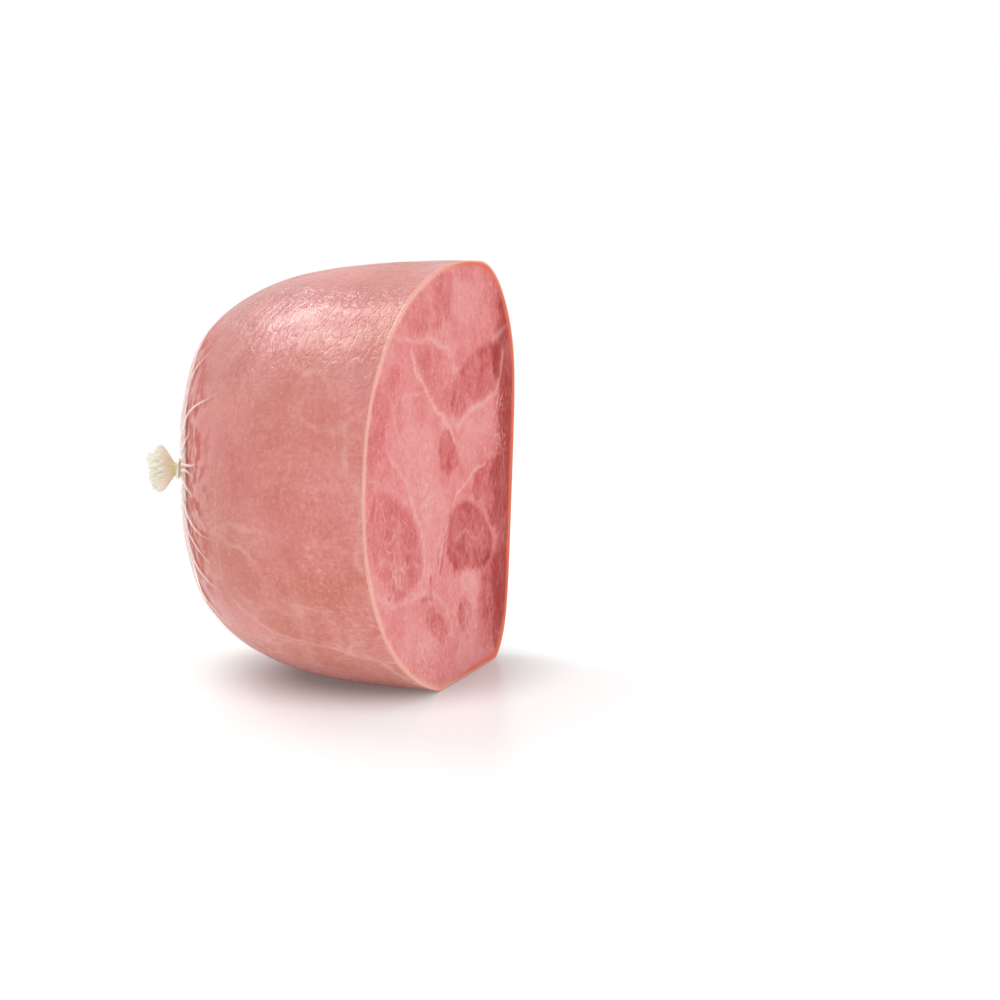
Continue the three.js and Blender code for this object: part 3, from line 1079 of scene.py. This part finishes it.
def buildHam(laid):
    look = hamMesh
    points, furrow, crinkled = hamSkin(laid)
    face, marks, middle = hamFace(points[0])
    skin = points[:-1]
    lowSide = 1 - smooth(*look["tanRise"], skin[..., 2] - floorZ)
    patches = look["tanShare"]["patches"] * noiseField(skin, *look["smokePatches"])
    tanShare = np.clip(look["tanShare"]["base"] + patches + look["tanShare"]["low"] * lowSide, 0, 1)
    paleMarkAndSheen, darkMark = layMarks(skin)
    onFace, onSkin = np.zeros(face.shape[:2]), np.zeros(skin.shape[:2])
    faceOnly = {"tone": look["skinTone"], "seam": 0, "rim": 1, "crack": 0, "backness": 0}
    attributes = {name: np.concatenate([marks[name], onSkin + rest]) for name, rest in faceOnly.items()}
    skinOnly = {"furrow": furrow[:-1], "crinkled": crinkled[:-1], "tanShare": tanShare,
                "paleMarkAndSheen": paleMarkAndSheen, "darkMark": darkMark}
    attributes.update((name, np.concatenate([onFace, values])) for name, values in skinOnly.items())
    faceRows = len(face)

    def slots(rows, around, count):
        # the face and the fan of triangles in its middle are cut meat, the rest is skin
        index = np.ones(count, dtype=np.int32)
        index[: faceRows * around] = 0
        index[-2 * around:-around] = 0
        return index

    ham = meshFromRings("ham_meat", np.concatenate([face, skin]), [makeCutMeat(), makeSmokedSkin()],
                        attributes, middle, points[-1].mean(0), slots)
    edges = ham.data.attributes.new("sharp_edge", "BOOLEAN", "EDGE")
    pairs = np.array([edge.vertices[:] for edge in ham.data.edges])
    low, high = faceRows * look["around"], (faceRows + 1) * look["around"]
    onRim = ((pairs >= low) & (pairs < high)).all(axis=1)
    edges.data.foreach_set("value", onRim.tolist())
    return ham


filmMesh = {
    "rows": 170,
    "around": 520,
    "nearest": 0.4 * mm,
    "lift": 0.06 * mm,
    "endSinkShare": 0.62,        # the film sinks too near the clip, but less than the meat
    "neckRun": (4 * mm, 16 * mm),
    "edgeWidth": (0.16 * mm, 0.64 * mm),
    "milkyRun": (34 * mm, 41 * mm),
    "ragged": (5 * mm, 2, 14),
    "raggedBy": 4 * mm,
    "uneven": (9 * mm, 2, 11),
    "unevenRange": (0.85, 0.4),
}


def filmLift(points, toClip):
    lumps, nearCut = lumpLift(points)
    sunk = filmMesh["endSinkShare"] * endSink(toClip) * smooth(*filmMesh["neckRun"], toClip)
    return filmMesh["lift"] + lumps * nearCut - sunk


def buildFilm(laid):
    look = filmMesh
    points, angle, reach, toClip = skinGrid(look["rows"], look["around"], look["nearest"], 0, True)
    normal = gridNormals(points)
    ridge, _ = foldField(angle, reach, toClip, laid)
    ragged = toClip + look["raggedBy"] * noiseField(points, *look["ragged"])
    even, uneven = look["unevenRange"]
    milky = (1 - smooth(*look["milkyRun"], ragged)) * (even + uneven * noiseField(points, *look["uneven"]))
    points = points + normal * filmLift(points, toClip)[..., None]
    points[0, :, 0] = cutX
    points[..., 2] = np.maximum(points[..., 2], floorZ)
    return meshFromRings("casing_film", points, [makeClearFilm()], {
        "ridge": np.clip(ridge, 0, 1),
        "milky": np.clip(milky, 0, 1),
        "cutEdge": 1 - smooth(*look["edgeWidth"], cutX - points[..., 0]),
    })


def foldWall(fold, side, shape):
    # points of one fold, along it and across it, and how strong it is along its length
    along = np.linspace(folds["startAt"], fold["length"], folds["steps"])
    middle = foldAngle(fold, along)
    _, reach = skinPoint(middle, along)
    crowd = np.clip(reach / folds["crowding"], folds["finestWall"], 1)
    taper = foldFade(fold, along)
    breadth = folds["width"] * crowd * (folds["leastBreadth"] + (1 - folds["leastBreadth"]) * taper)
    byCrowd, byTaper = folds["heightShape"]
    height = (folds["wallHeight"] * fold["height"] * crowd ** byCrowd * taper ** byTaper)[:, None]
    shift = side[None, :] * folds["wallFoot"] * breadth[:, None] + fold["lean"] * (shape[None, :] * height)
    turn = middle[:, None] + shift / np.maximum(reach[:, None], 1 * mm)
    toClip = np.broadcast_to(along[:, None], turn.shape)
    # the way the skin faces, from a point a little ahead and one a little beside
    points, _ = skinPoint(turn, toClip)
    ahead, _ = skinPoint(turn, toClip + 0.5 * mm)
    beside, _ = skinPoint(turn + 0.01, toClip)
    normal = unitLength(np.cross(beside - points, ahead - points))
    outward = points - np.array([cutX - 0.5 * body["halfLength"], axisY, axisZ])
    normal *= np.sign((normal * outward).sum(-1))[..., None]
    up = filmLift(points, toClip) - folds["sunk"] + shape[None, :] * height
    points = points + normal * up[..., None]
    points[..., 2] = np.maximum(points[..., 2], floorZ + folds["aboveFloor"])
    return points, taper


def buildFolds(laid):
    # each fold is a thin pinched wall of film, tallest near the clip and running out over the body
    side = np.linspace(-1, 1, folds["across"])
    shape = peak(side, folds["crest"]) - math.exp(-(1 / folds["crest"]) ** 2)
    walls = [foldWall(fold, side, shape) for fold in laid]
    steps, step = folds["steps"], folds["across"]
    faces = [(at, at + 1, at + step + 1, at + step)
             for wall in range(len(walls)) for i in range(steps - 1)
             for at in range((wall * steps + i) * step, (wall * steps + i + 1) * step - 1)]
    points = np.concatenate([wall.reshape(-1, 3) for wall, _ in walls])
    mesh = newMesh("casing_folds", points.tolist(), faces, [makeFoldedFilm()])
    addMask(mesh, "crest", np.tile(shape, len(walls) * steps))
    addMask(mesh, "strength", np.concatenate([np.repeat(taper, step) for _, taper in walls]))
    return newPiece("casing_folds", mesh)


# The tail: ruffles of pleated film, one inside the other, spreading from the clip.
tail = {
    "seed": 8,
    "neck": 2.5 * mm,
    "start": -2.6 * mm,          # along the neck from the clipped end
    "flareStart": 2.0 * mm,
    "ruffles": [
        {"length": 7.6 * mm, "radius": 8.3 * mm, "pleats": 21, "depth": 0.10},
        {"length": 9.0 * mm, "radius": 7.6 * mm, "pleats": 18, "depth": 0.13},
        {"length": 10.2 * mm, "radius": 6.0 * mm, "pleats": 15, "depth": 0.17},
        {"length": 10.9 * mm, "radius": 4.0 * mm, "pleats": 11, "depth": 0.22},
        {"length": 11.2 * mm, "radius": 2.1 * mm, "pleats": 7, "depth": 0.30},
    ],
    "innerNeck": 0.16,           # each ruffle's neck is narrower by this share
    "rows": 34,
    "around": 300,
    "film": 0.16 * mm,
    "ragged": 1.25 * mm,
    "waves": (0.55, 0.35, 0.35, 0.45),     # of the ragged end: slow, quicker, along the pleats, notches
    "waveTurns": (3, 7, 4),
    "notchShape": 0.6,
    "openShape": 0.75,
    "flareShape": 1.1,
    "pleatSway": 0.5,
    "pinchShape": 0.7,
    "pinchMiddle": 0.15,
    "closedDepth": 0.25,
    "lobes": (5, 0.09),
    "valleyFade": 0.4,
}


def raggedEnd(angle, pleats, phase):
    slow, quick, extra = tail["waveTurns"]
    waves, notch = tail["waves"], np.sin(angle * pleats + phase[2])
    return (waves[0] * np.sin(angle * slow + phase[0]) + waves[1] * np.sin(angle * quick + phase[3])
            + waves[2] * np.sin(angle * (pleats + extra) + phase[1])
            + waves[3] * np.sign(notch) * np.abs(notch) ** tail["notchShape"])


def buildRuffle(index, ruffle, rng, material):
    along = np.linspace(0, 1, tail["rows"])[:, None]
    angle = np.linspace(0, 2 * math.pi, tail["around"], endpoint=False)[None, :]
    phase = [rng.uniform(0, 2 * math.pi) for _ in range(4)]
    pleats, length, flareStart = ruffle["pleats"], ruffle["length"], tail["flareStart"]
    end = length + tail["ragged"] * raggedEnd(angle, pleats, phase)
    out = tail["start"] + (end - tail["start"]) * along
    opened = smooth(flareStart, length, out) ** tail["openShape"]
    flare = np.clip((out - flareStart) / (length - flareStart), 0, 1)
    neck = tail["neck"] * (1 - tail["innerNeck"] * index)
    radius = neck + (ruffle["radius"] - neck) * np.sin(flare * math.pi / 2) ** tail["flareShape"]
    fold = np.cos(angle * pleats + phase[2] + tail["pleatSway"] * np.sin(angle * 2 + phase[3]))
    pinch = np.sign(fold) * np.abs(fold) ** tail["pinchShape"]
    depth = ruffle["depth"] * (tail["closedDepth"] + (1 - tail["closedDepth"]) * opened)
    lobes, lobeDepth = tail["lobes"]
    lobed = lobeDepth * np.sin(angle * lobes + phase[1]) * opened
    radius = radius * (1 + depth * (pinch - tail["pinchMiddle"]) + lobed)
    piece = meshFromRings(f"casing_tail_{index + 1}", pointAt(1.0, radius, out, angle), [material], {
        "spread": np.clip(opened, 0, 1),
        # where the painted shade of the pleat valleys goes
        "valley": np.clip(0.5 - 0.5 * pinch, 0, 1) * (1 - tail["valleyFade"] * opened),
    })
    thick = piece.modifiers.new("film", "SOLIDIFY")
    thick.thickness, thick.offset = tail["film"], 0
    return piece


def buildTail():
    rng = random.Random(tail["seed"])
    material = makeGatheredFilm()
    return [buildRuffle(i, ruffle, rng, material) for i, ruffle in enumerate(tail["ruffles"])]


clip = {
    "wire": 1.45 * mm,
    "turns": 1.25,
    "pitch": 1.25 * mm,
    "ringRadius": 3.55 * mm,
    "offset": 0.4 * mm,
    "points": 64,
    "endPoints": 2,              # at each end of the wire, nipped to this share of its width
    "endWidth": 0.86,
    "roundness": 5,
}


def buildClip():
    wire = bpy.data.curves.new("clip_wire", "CURVE")
    wire.dimensions = "3D"
    wire.bevel_depth = clip["wire"] / 2
    wire.bevel_resolution = clip["roundness"]
    wire.use_fill_caps = True
    line = wire.splines.new("POLY")
    line.points.add(clip["points"])
    for i, point in enumerate(line.points):
        turns = clip["turns"] * (i / clip["points"] - 0.5)
        angle = turns * 2 * math.pi + math.pi / 2
        at = pointAt(1.0, clip["ringRadius"], clip["offset"] + turns * clip["pitch"], np.array(angle))
        point.co = (*at, 1)
        nearEnd = min(i, clip["points"] - i) <= clip["endPoints"]
        point.radius = clip["endWidth"] if nearEnd else 1.0
    line.use_smooth = True
    wire.materials.append(makeClipWire())
    return newPiece("clip_wire", wire)


studio = {
    "azimuth": math.radians(19.5),
    "elevation": math.radians(6.5),
    "distance": 0.550,
    "aimBesideCut": 19.3 * mm,
    "aimHeight": 67 * mm,
    "lens": 57.4,
    "sensor": 36,
    "skyForCamera": 1.0,
    "skyForLight": 0.75,
    # name, where it is, what it points at, size and power
    "lamps": [
        ("top_box", (-0.38, 0.14, 0.80), (0.03, -0.04, 0.12), (0.44, 0.50), 2.65),
        ("end_box", (-0.50, 0.28, 0.63), (0.03, -0.04, 0.12), (0.16, 0.16), 0.30),
        ("cut_fill", (0.95, -0.55, 0.45), (0.06, 0, 0.08), (0.7, 0.7), 2.2),
    ],
    "floorSide": 6.0,
    "floorGap": 0.2 * mm,
    "floor": {"Base Color": (0.580, 0.608, 0.606, 1), "Roughness": 0.30, "Specular IOR Level": 0.25,
              "Emission Color": (1, 0.997, 0.994, 1)},
    # the floor glows less under the ham, a painted shadow: the middle, then from and to what distance and
    # glow
    "underHam": (0.03, 0.02, 0),
    "floorGlowAndShadow": (0.030, 0.076, 0.10, 0.48),
}


def lookAt(thing, target):
    thing.rotation_euler = (Vector(target) - thing.location).to_track_quat("-Z", "Y").to_euler()


def buildCamera():
    lens = bpy.data.cameras.new("camera")
    lens.lens, lens.sensor_width = studio["lens"], studio["sensor"]
    camera = newPiece("camera", lens)
    turn, rise = studio["azimuth"], studio["elevation"]
    aim = Vector((cutX + studio["aimBesideCut"], 0, floorZ + studio["aimHeight"]))
    back = Vector((math.sin(turn) * math.cos(rise), -math.cos(turn) * math.cos(rise), math.sin(rise)))
    camera.location = aim + back * studio["distance"]
    lookAt(camera, aim)
    bpy.context.scene.camera = camera


def areaLight(name, at, aim, size, power):
    lamp = bpy.data.lights.new(name, "AREA")
    lamp.shape, lamp.size, lamp.size_y = "RECTANGLE", size[0], size[1]
    lamp.energy = power
    light = newPiece(name, lamp)
    light.location = Vector(at)
    lookAt(light, aim)


def buildFloor():
    side = studio["floorSide"]
    corners = [(-side, -side, 0), (side, -side, 0), (side, side, 0), (-side, side, 0)]
    material, tree, shader = newMaterial("whiteTable", studio["floor"])
    away = vectorMaths(tree, "DISTANCE", objectSpace(tree), studio["underHam"])["Value"]
    # painted shadow: the floor's glow drops towards the ham
    feed(tree, shader, {"Emission Strength": remap(tree, away, *studio["floorGlowAndShadow"])})
    floor = newPiece("floor", newMesh("floor", corners, [(0, 1, 2, 3)], [material]))
    floor.location.z = floorZ - studio["floorGap"]


def buildStudio():
    world = bpy.data.worlds.new("sky")
    bpy.context.scene.world = world
    world.use_nodes = True
    tree = world.node_tree
    tree.nodes.clear()
    path = place(tree, "ShaderNodeLightPath")
    strength = place(tree, "ShaderNodeMapRange", {
        "Value": path.outputs["Is Camera Ray"], "To Min": studio["skyForLight"],
        "To Max": studio["skyForCamera"]}).outputs[0]
    sky = place(tree, "ShaderNodeBackground", {"Color": (1, 1, 1, 1), "Strength": strength})
    place(tree, "ShaderNodeOutputWorld", {"Surface": sky.outputs[0]})
    for lamp in studio["lamps"]:
        areaLight(*lamp)
    buildFloor()
    bpy.context.scene.view_settings.view_transform = "Standard"


def handOver(piece, node):
    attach(piece, "root")
    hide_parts(node)


laid = layFolds()
print("folds laid:", len(laid))
handOver(buildHam(laid), "ham")
print("meat built")
handOver(buildFilm(laid), "casing")
handOver(buildFolds(laid), "casing")
for ruffle in buildTail():
    handOver(ruffle, "casing")
print("film and tail built")
handOver(buildClip(), "clip")
print("clip built")
buildCamera()
buildStudio()
print("camera, lights and floor set")
